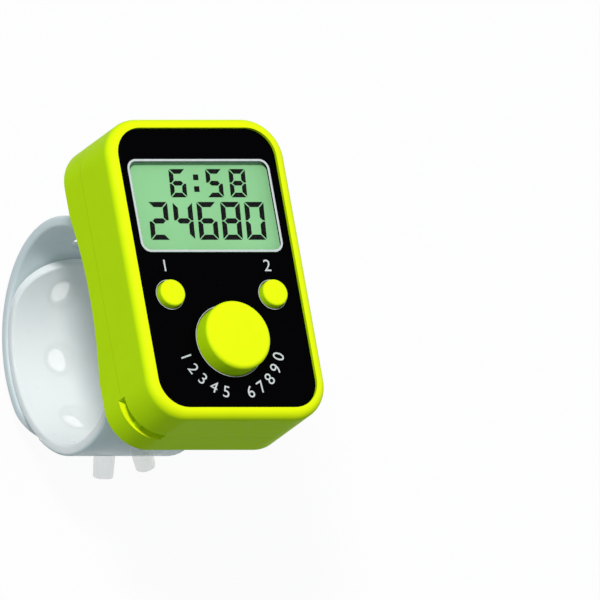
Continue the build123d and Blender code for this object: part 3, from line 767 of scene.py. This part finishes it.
def make_button_rims():
    """Painted highlights for the bright edges of the three button holes: pale rings on the faceplate round
    them.
    """
    work = bmesh.new()
    turns = [2 * math.pi * i / RIM_SIDES for i in range(RIM_SIDES)]
    circle = [(math.cos(turn), math.sin(turn)) for turn in turns]
    for (x, y), radius in [(COUNT_PLACE, COUNT_RADIUS), *((place, SMALL_RADIUS) for place in SMALL_PLACES)]:
        start = radius + RIM_START
        end = start + RIM_WIDTH
        loops = []
        for reach, rise in ((start, 0.0), (start, RIM_HEIGHT), (end, RIM_HEIGHT), (end, 0.0)):
            loops.append([on_case(x + reach * across, y + reach * along, -rise) for across, along in circle])
        add_bead(work, loops)
    make_object("button_hole_rims", mesh_from(work, "button_hole_rims"), RIM_HIGHLIGHT_PAINT)


# Plain numbers printed on the faceplate
NUMBER_HEIGHT = 1.75
LABEL_Y = 0.45
ARC_RADIUS = 7.4
ARC_TEXT = "12345 67890"
ARC_START = 197.0
ARC_END = 343.0
PRINT_RISE = 0.01
CAP_SHARE = 0.73


def number_mesh(text):
    """A printed number as a thin mesh about its middle, in millimetres."""
    curve = bpy.data.curves.new("number", "FONT")
    curve.body = text
    curve.size = NUMBER_HEIGHT / CAP_SHARE
    curve.align_x = "CENTER"
    curve.extrude = PRINT_RISE
    piece = bpy.data.objects.new("number", curve)
    bpy.context.scene.collection.objects.link(piece)
    graph = bpy.context.evaluated_depsgraph_get()
    mesh = bpy.data.meshes.new_from_object(piece.evaluated_get(graph))
    bpy.data.objects.remove(piece)
    mesh.transform(Matrix.Translation((0, -NUMBER_HEIGHT / 2, 0)))
    return mesh


def make_printed_numbers():
    """The pale numbers over the small buttons and along the arc under the large one."""
    work = bmesh.new()
    for text, (x, _) in zip("12", SMALL_PLACES):
        mesh = number_mesh(text)
        mesh.transform(Matrix.Translation(on_case(x, LABEL_Y, 0)) @ Matrix.Scale(MM, 4))
        work.from_mesh(mesh)
    for i, text in enumerate(ARC_TEXT):
        if text == " ":
            continue
        turn = math.radians(ARC_START + (ARC_END - ARC_START) * i / (len(ARC_TEXT) - 1))
        x = COUNT_PLACE[0] + ARC_RADIUS * math.cos(turn)
        y = COUNT_PLACE[1] + ARC_RADIUS * math.sin(turn)
        mesh = number_mesh(text)
        spin = Matrix.Rotation(turn + math.pi / 2, 4, "Z")
        mesh.transform(Matrix.Translation(on_case(x, y, 0)) @ spin @ Matrix.Scale(MM, 4))
        work.from_mesh(mesh)
    make_object("printed_numbers", mesh_from(work, "printed_numbers"), INK_PALE)


# Soft straps
STRAP_FACES = {"pegs": 1, "lap": 2, "outside": 3}
BEVEL_STEPS = 3
MERGE_DISTANCE = 0.002
CUT_DISTANCE = 0.001
HALVINGS = 50
ROOT_STEPS = 4


def direction(angle_degrees):
    """A unit vector in the ring's own section, as y and z."""
    turn = math.radians(angle_degrees)
    return Vector((math.cos(turn), math.sin(turn)))


def spiral_shift():
    """How far from the ring's axis the winding's two tangent arcs have their centres."""
    half_turn = math.cos(math.radians(SPIRAL_TURN / 2))
    return (RING_RADIUS - LAP_RADIUS) * half_turn / (2 * half_turn - 1)


def start_angle(side):
    """Where a strap begins, beside the gap between the two roots."""
    return 90 - side * math.degrees(math.asin(ROOT_GAP / 2 / (RING_RADIUS - STRAP_THICKNESS)))


def lower_arcs():
    """The lower strap's middle line, as arcs of centre, radius, start and end angle."""
    shift = spiral_shift()
    half = STRAP_THICKNESS / 2
    turn_middle = SPIRAL_START + SPIRAL_TURN / 2
    turn_end = SPIRAL_START + SPIRAL_TURN
    return [
        (Vector((0, 0)), RING_RADIUS - half, start_angle(-1), SPIRAL_START),
        (shift * direction(SPIRAL_START), RING_RADIUS - shift - half, SPIRAL_START, turn_middle),
        (-shift * direction(turn_end), LAP_RADIUS + shift - half, turn_middle, turn_end),
        (Vector((0, 0)), LAP_RADIUS - half, turn_end, LOWER_TIP_ANGLE),
    ]


def upper_arcs():
    """The upper strap's middle line, which runs the other way round."""
    shift = spiral_shift()
    half = STRAP_THICKNESS / 2
    turn_end = SPIRAL_START + SPIRAL_TURN - 360
    return [
        (Vector((0, 0)), RING_RADIUS - half, start_angle(1), turn_end),
        (-shift * direction(turn_end), RING_RADIUS + shift - half, turn_end, UPPER_TIP_ANGLE),
    ]


def arc_length(arc):
    """An arc's length in millimetres."""
    return abs(math.radians(arc[3] - arc[2])) * arc[1]


def place_along(arcs, along, rise=0.0):
    """A point of y and z at a distance along the arcs, and the outward direction there."""
    for arc in arcs:
        if along <= arc_length(arc) or arc is arcs[-1]:
            centre, radius, start, end = arc
            angle = start + math.copysign(math.degrees(along / radius), end - start)
            outward = direction(angle)
            return centre + (radius + rise) * outward, outward
        along -= arc_length(arc)


def distance_to(arcs, angle_degrees):
    """How far along the arcs a ray from the ring's axis at an angle meets them."""
    first = arcs[0][2]
    way = math.copysign(1, arcs[0][3] - first)
    target = (way * (angle_degrees - first)) % 360
    low = 0.0
    high = 1.2 * sum(arc_length(arc) for arc in arcs)
    for _ in range(HALVINGS):
        middle = (low + high) / 2
        point, _ = place_along(arcs, middle)
        turned = (way * (math.degrees(math.atan2(point.y, point.x)) - first)) % 360
        if turned < target or turned > 359:
            low = middle
        else:
            high = middle
    return middle


def flat_strap(length, holes):
    """A flat strap with a round end, round holes and rounded edges, as a bmesh in millimetres."""
    half_width = STRAP_WIDTH / 2
    outline = [(0, -half_width)]
    for i in range(TIP_STEPS + 1):
        turn = math.radians(-90 + 180 * i / TIP_STEPS)
        outline.append((length - half_width + half_width * math.cos(turn), half_width * math.sin(turn)))
    outline.append((0, half_width))
    loops = [outline]
    for hole in holes:
        turns = [-2 * math.pi * i / HOLE_SIDES for i in range(HOLE_SIDES)]
        loops.append([(hole + HOLE_RADIUS * math.cos(turn), HOLE_RADIUS * math.sin(turn)) for turn in turns])
    curve = bpy.data.curves.new("flat_strap", "CURVE")
    curve.dimensions = "2D"
    curve.fill_mode = "BOTH"
    curve.extrude = STRAP_THICKNESS / 2 - STRAP_EDGE
    curve.bevel_depth = STRAP_EDGE
    curve.bevel_resolution = BEVEL_STEPS
    curve.offset = -STRAP_EDGE
    for loop in loops:
        spline = curve.splines.new("POLY")
        spline.points.add(len(loop) - 1)
        for point, (x, y) in zip(spline.points, loop):
            point.co = (x, y, 0, 1)
        spline.use_cyclic_u = True
    piece = bpy.data.objects.new("flat_strap", curve)
    bpy.context.scene.collection.objects.link(piece)
    graph = bpy.context.evaluated_depsgraph_get()
    mesh = bpy.data.meshes.new_from_object(piece.evaluated_get(graph))
    bpy.data.objects.remove(piece)
    work = bmesh.new()
    work.from_mesh(mesh)
    bmesh.ops.remove_doubles(work, verts=work.verts, dist=MERGE_DISTANCE)
    bmesh.ops.dissolve_limit(work, angle_limit=0.001, verts=work.verts, edges=work.edges)
    for i in range(1, int(length / STRAP_STEP)):
        everything = work.verts[:] + work.edges[:] + work.faces[:]
        place = (i * STRAP_STEP, 0, 0)
        bmesh.ops.bisect_plane(work, geom=everything, dist=CUT_DISTANCE, plane_co=place, plane_no=(1, 0, 0))
    return work


def bent_strap(arcs, tip_angle, holes):
    """A strap bent round the ring, as a mesh in metres."""
    work = flat_strap(distance_to(arcs, tip_angle), holes)
    for vertex in work.verts:
        along, across, rise = vertex.co
        point, _ = place_along(arcs, along, rise)
        vertex.co = Vector((across, point.x, point.y)) * MM
    mesh = bpy.data.meshes.new("strap")
    bmesh.ops.recalc_face_normals(work, faces=work.faces)
    work.to_mesh(mesh)
    work.free()
    return mesh


def ring_place(angle_degrees, radius):
    """A place on the ring whose own z axis points outwards, in metres."""
    out = direction(angle_degrees)
    z_axis = Vector((0, out.x, out.y))
    x_axis = Vector((1, 0, 0))
    y_axis = z_axis.cross(x_axis)
    turn = Matrix((x_axis, y_axis, z_axis)).transposed().to_4x4()
    return Matrix.Translation(z_axis * radius * MM) @ turn @ Matrix.Scale(MM, 4)


def lower_radius(angle_degrees):
    """The lower strap's outer radius at an angle."""
    arcs = lower_arcs()
    point, _ = place_along(arcs, distance_to(arcs, angle_degrees), STRAP_THICKNESS / 2)
    return point.length


def add_root(work, side):
    """The foot between a strap and the hollow back of the casing."""
    saddle_radius = ((HOLLOW_LENGTH / 2) ** 2 + HOLLOW_DIP ** 2) / (2 * HOLLOW_DIP)
    axis_z = FRONT_Z - WAIST_DEPTH - saddle_radius
    inner = RING_RADIUS - STRAP_THICKNESS
    bite = STRAP_THICKNESS / 2
    points = []
    for i in range(ROOT_STEPS + 1):
        y = side * (ROOT_GAP / 2 + (ROOT_REACH - ROOT_GAP / 2) * i / ROOT_STEPS)
        arch = math.sqrt((saddle_radius - ROOT_SEAT) ** 2 - (y - CASE_Y) ** 2)
        points.append((y, axis_z + arch))
    far = side * (ROOT_REACH + ROOT_TAPER)
    for i in range(ROOT_STEPS + 1):
        y = far + (side * ROOT_GAP / 2 - far) * i / ROOT_STEPS
        points.append((y, math.sqrt((inner + bite) ** 2 - y ** 2)))
    half = ROOT_WIDTH / 2
    left = [work.verts.new(Vector((-half, y, z)) * MM) for y, z in points]
    right = [work.verts.new(Vector((half, y, z)) * MM) for y, z in points]
    work.faces.new(left)
    work.faces.new(list(reversed(right)))
    for i in range(len(points)):
        j = (i + 1) % len(points)
        work.faces.new((left[i], right[i], right[j], left[j]))


def peg_profile(root):
    """A peg's outline of radius and height, from inside the strap to its rounded tip."""
    profile = [(0, -root), (PEG_RADIUS, -root), (PEG_RADIUS, 0), (PEG_TIP_RADIUS, PEG_LENGTH - PEG_ROUND)]
    for i in range(1, PEG_STEPS + 1):
        turn = math.radians(90 * i / PEG_STEPS)
        radius = PEG_TIP_RADIUS - PEG_ROUND + PEG_ROUND * math.cos(turn)
        profile.append((radius, PEG_LENGTH - PEG_ROUND + PEG_ROUND * math.sin(turn)))
    return profile + [(0, PEG_LENGTH)]


def distance_from_ray(place, angle_degrees):
    """How far a place is from the ray that leaves the ring's middle at an angle."""
    out = direction(angle_degrees)
    ray = Vector((0, out.x, out.y))
    along = max(place.dot(ray), 0)
    return (place - ray * along).length


def all_near_ray(mesh, face, angle_degrees, limit):
    """Whether all corners of a face are within a limit, in millimetres, of a ray from the ring's axis."""
    corners = [mesh.vertices[index].co / MM for index in face.vertices]
    return all(distance_from_ray(corner, angle_degrees) < limit for corner in corners)


def make_lower_strap():
    """The inner strap with its pegs, and with its outer skin and pegs sorted by material."""
    mesh = bent_strap(lower_arcs(), LOWER_TIP_ANGLE, [])
    pegs = [(peg_angle(index), lower_radius(peg_angle(index))) for index in range(PEG_COUNT)]
    grown = bmesh.new()
    for angle, root in pegs:
        add_lathe(grown, peg_profile(STRAP_THICKNESS / 2), ring_place(angle, root), PEG_SIDES)
    add_root(grown, -1)
    mesh = combine(mesh, closed_mesh(grown, "pegs"), "UNION")
    piece = make_object("lower_strap_soft", smooth_by_angle(mesh), INNER_STRAP)
    for extra in (PEGS, LAP_SKIN, SHADED_STRAP):
        mesh.materials.append(extra)
    for face in mesh.polygons:
        centre = face.center / MM
        radius = math.hypot(centre.y, centre.z)
        turn = math.degrees(math.atan2(centre.z, centre.y)) % 360
        # Painted shade: the lower strap's outer skin short of the lap takes the darker copy of the strap
        # plastic
        if radius > lower_radius(turn) - STRAP_EDGE:
            face.material_index = STRAP_FACES["lap" if turn > LAP_START_ANGLE else "outside"]
        for angle, root in pegs:
            if radius > root + PEG_MARGIN and all_near_ray(mesh, face, angle, PEG_RADIUS + PEG_MARGIN):
                face.material_index = STRAP_FACES["pegs"]
    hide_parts("lower_strap")


def make_upper_strap():
    """The outer strap, with a hole round each engaged peg and one to spare."""
    arcs = upper_arcs()
    angles = [peg_angle(index) for index in range(FIRST_ENGAGED_PEG, PEG_COUNT + 1)]
    mesh = bent_strap(arcs, UPPER_TIP_ANGLE, [distance_to(arcs, angle) for angle in angles])
    grown = bmesh.new()
    add_root(grown, 1)
    mesh = combine(mesh, closed_mesh(grown, "root"), "UNION")
    piece = make_object("upper_strap_soft", smooth_by_angle(mesh), SHADED_STRAP)
    mesh.materials.append(SHADED_HOLE_WALLS)
    engaged = angles[:-1]
    # Painted shade: the walls and rims of the engaged holes take the grey copy of the strap plastic
    for face in mesh.polygons:
        if any(all_near_ray(mesh, face, angle, HOLE_RIM_RADIUS) for angle in engaged):
            face.material_index = 1
    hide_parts("upper_strap")


make_button("count_cap", "count_button", "count_key", COUNT_PLACE, COUNT_SHAPE)
make_button("left_cap", "left_button", "left_key", SMALL_PLACES[0], SMALL_SHAPE)
make_button("right_cap", "right_button", "right_key", SMALL_PLACES[1], SMALL_SHAPE)
make_dome("count_dome_soft", "count_dome", COUNT_PLACE, COUNT_DOME_RADIUS)
make_dome("left_dome_soft", "left_dome", SMALL_PLACES[0], SMALL_DOME_RADIUS)
make_dome("right_dome_soft", "right_dome", SMALL_PLACES[1], SMALL_DOME_RADIUS)
make_screws("case_screws_crossed", "case_screws")
make_screws("door_screw_crossed", "door_screw")
make_display_digits()
make_window_line()
make_button_rims()
make_printed_numbers()
make_lower_strap()
make_upper_strap()


# Floor, world, lamps and camera
FLOOR_HALF = 1.5
FLOOR_DROP = 0.0001
FLOOR_GLOW = 0.95
FLOOR_SEEN = 0.7
FLOOR_UNSEEN = 0.3
SKY_LEVEL = 0.32
SKY_TINT = (0.76, 0.96, 1.0)
IMAGE_SIZE = 600
PIXELS_PER_METRE = 7437
CASE_PIXEL = (216.4, 268.2)
VIEW_DISTANCE = 0.5
VIEW_RIGHT = (0.8684, -0.1694, 0.4660)
VIEW_UP = (0.0005, 0.9401, 0.3409)
LAMP_DISTANCE = 3.0
KEY_LAMP = {"toward": (-0.47, 0.22, 0.86), "size": 0.5, "energy": 71}
FILL_LAMP = {"toward": (0.9, 0.25, 0.35), "size": 1.5, "energy": 20}


def seen_directly(nodes, links):
    """One for camera, gloss and transmission rays, and zero for the rest."""
    path = nodes.new("ShaderNodeLightPath")
    total = path.outputs["Is Camera Ray"]
    for kind in ("Is Glossy Ray", "Is Transmission Ray"):
        total = math_node(nodes, links, "MAXIMUM", total, path.outputs[kind])
    return total


def make_floor():
    """A plain white floor just under the ring."""
    low, _ = cad_box
    height = low.z - FLOOR_DROP
    work = bmesh.new()
    corners = [(-1, -1), (1, -1), (1, 1), (-1, 1)]
    work.faces.new([work.verts.new((x * FLOOR_HALF, y * FLOOR_HALF, height)) for x, y in corners])
    mesh = bpy.data.meshes.new("floor")
    work.to_mesh(mesh)
    work.free()
    floor = bpy.data.objects.new("floor", mesh)
    bpy.context.scene.collection.objects.link(floor)
    material = bpy.data.materials.new("floor_white")
    material.use_nodes = True
    nodes = material.node_tree.nodes
    links = material.node_tree.links
    nodes.clear()
    output = nodes.new("ShaderNodeOutputMaterial")
    diffuse = nodes.new("ShaderNodeBsdfDiffuse")
    seen = seen_directly(nodes, links)
    links.new(spread(nodes, links, seen, FLOOR_UNSEEN, FLOOR_SEEN, 0, 1), diffuse.inputs["Color"])
    glow = nodes.new("ShaderNodeEmission")
    mix = nodes.new("ShaderNodeMixShader")
    links.new(math_node(nodes, links, "MULTIPLY", seen, FLOOR_GLOW), mix.inputs[0])
    links.new(diffuse.outputs[0], mix.inputs[1])
    links.new(glow.outputs[0], mix.inputs[2])
    links.new(mix.outputs[0], output.inputs["Surface"])
    mesh.materials.append(material)


def make_world():
    """A white surrounding that lights the object softly."""
    world = bpy.data.worlds.new("studio")
    world.use_nodes = True
    nodes = world.node_tree.nodes
    links = world.node_tree.links
    sky = nodes["Background"]
    seen = seen_directly(nodes, links)
    links.new(spread(nodes, links, seen, SKY_LEVEL, 1, 0, 1), sky.inputs["Strength"])
    links.new(blend_colours(nodes, links, seen, SKY_TINT, (1.0, 1.0, 1.0)), sky.inputs["Color"])
    bpy.context.scene.world = world


def make_lamp(name, toward, size, energy):
    """A soft lamp that stands in a direction from the casing and points at it."""
    lamp = bpy.data.lights.new(name, "AREA")
    lamp.shape = "DISK"
    lamp.size = size
    lamp.energy = energy
    stand = bpy.data.objects.new(name, lamp)
    bpy.context.scene.collection.objects.link(stand)
    away = Vector(toward).normalized()
    stand.location = on_case(0, 0, 0) + away * LAMP_DISTANCE
    stand.rotation_euler = away.to_track_quat("Z", "Y").to_euler()


def make_camera():
    """The photograph's view of the casing, from its lower left and without perspective."""
    right = Vector(VIEW_RIGHT).normalized()
    back = right.cross(Vector(VIEW_UP)).normalized()
    up = back.cross(right)
    camera = bpy.data.cameras.new("camera")
    camera.type = "ORTHO"
    camera.ortho_scale = IMAGE_SIZE / PIXELS_PER_METRE
    stand = bpy.data.objects.new("camera", camera)
    bpy.context.scene.collection.objects.link(stand)
    across = (IMAGE_SIZE / 2 - CASE_PIXEL[0]) / PIXELS_PER_METRE
    along = (CASE_PIXEL[1] - IMAGE_SIZE / 2) / PIXELS_PER_METRE
    place = Matrix((right, up, back)).transposed().to_4x4()
    place.translation = on_case(0, 0, 0) + right * across + up * along + back * VIEW_DISTANCE
    stand.matrix_world = place
    bpy.context.scene.camera = stand


make_floor()
make_world()
make_lamp("key_lamp", **KEY_LAMP)
make_lamp("fill_lamp", **FILL_LAMP)
make_camera()
bpy.context.scene.view_settings.view_transform = "Standard"
